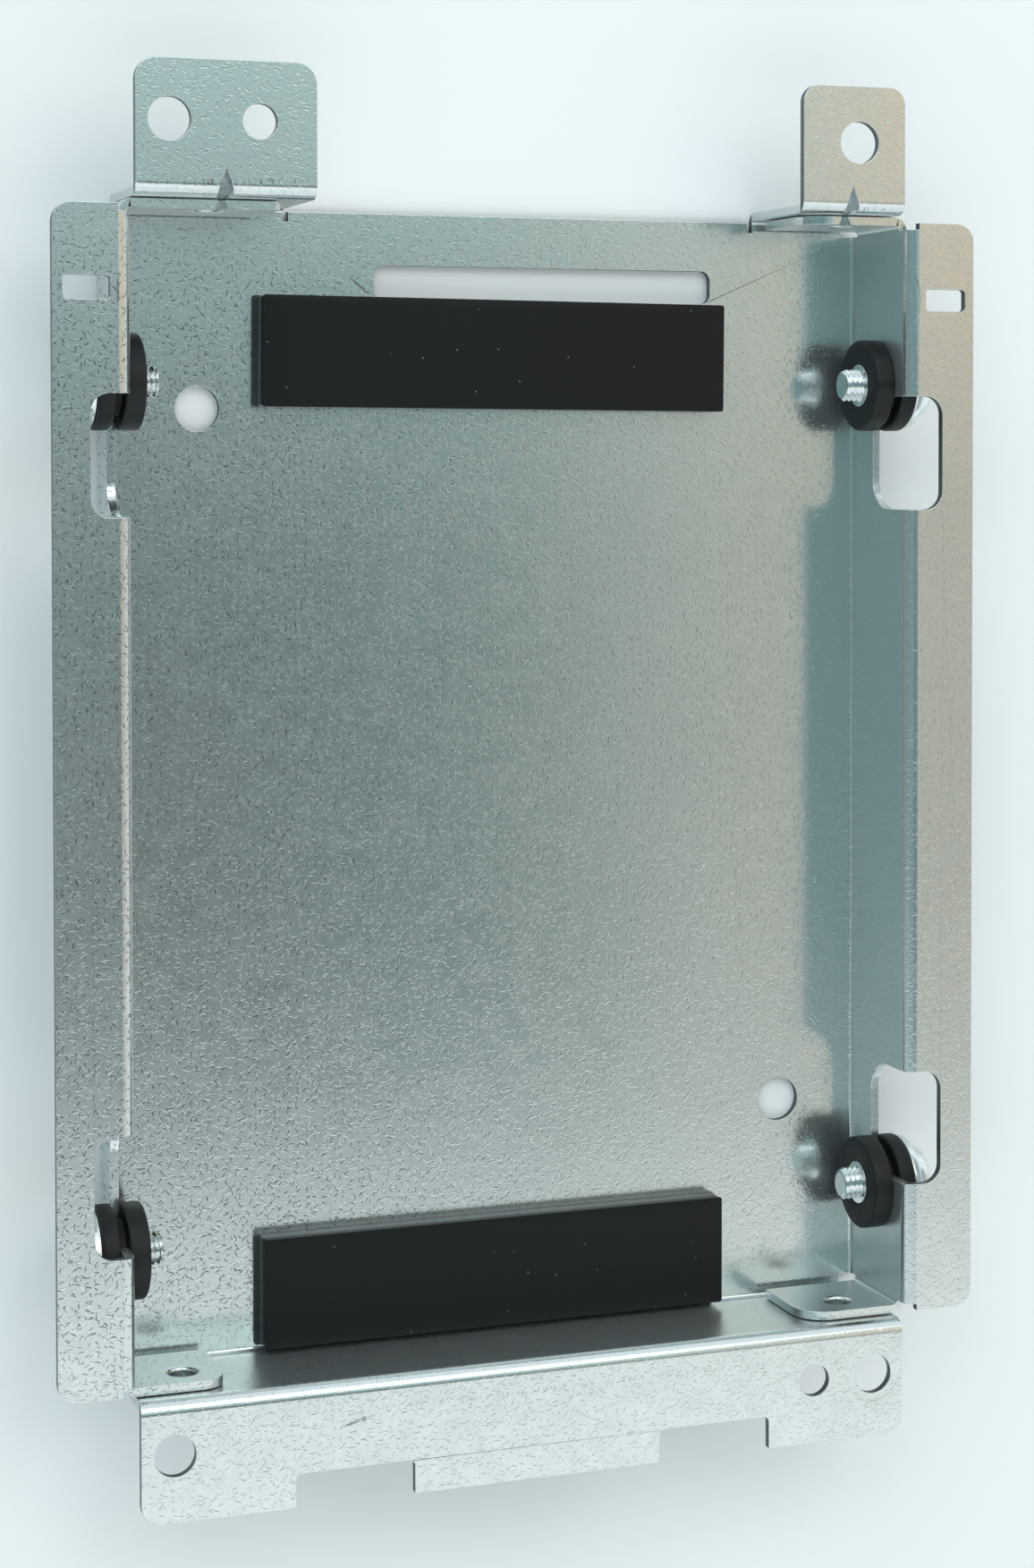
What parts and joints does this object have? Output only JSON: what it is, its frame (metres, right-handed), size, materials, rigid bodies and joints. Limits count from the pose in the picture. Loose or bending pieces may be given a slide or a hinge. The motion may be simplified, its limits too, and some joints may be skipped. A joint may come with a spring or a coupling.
{
  "type": "hard drive caddy",
  "caption": "folded sheet-metal tray that carries a 2.5-inch hard drive on rubber-mounted side screws and foam pads, with tabs and a notched apron to fasten it in a computer",
  "frame": {"origin": "middle of the bay's clear width and length, on the back of the floor", "axes": "+X across the bay to the right, +Y along the bay towards the tabs, +Z out of the open side"},
  "size_m": [0.0874, 0.1265, 0.0125],
  "materials": {
    "galvanised_sheet": "galvanised, with a fine mottled spangle",
    "foam": "matte closed-cell foam",
    "tape": "matte adhesive tape",
    "grommet_rubber": "matte black rubber",
    "screw_zinc": "bright zinc plate"
  },
  "bodies": {
    "root": {"tray": "galvanised_sheet", "upper_pad": "foam", "lower_pad": "foam", "upper_tape": "tape", "lower_tape": "tape", "upper_left_grommet": "grommet_rubber", "upper_right_grommet": "grommet_rubber", "lower_left_grommet": "grommet_rubber", "lower_right_grommet": "grommet_rubber", "upper_left_screw": "screw_zinc", "upper_right_screw": "screw_zinc", "lower_left_screw": "screw_zinc", "lower_right_screw": "screw_zinc"}
  },
  "joints": []
}
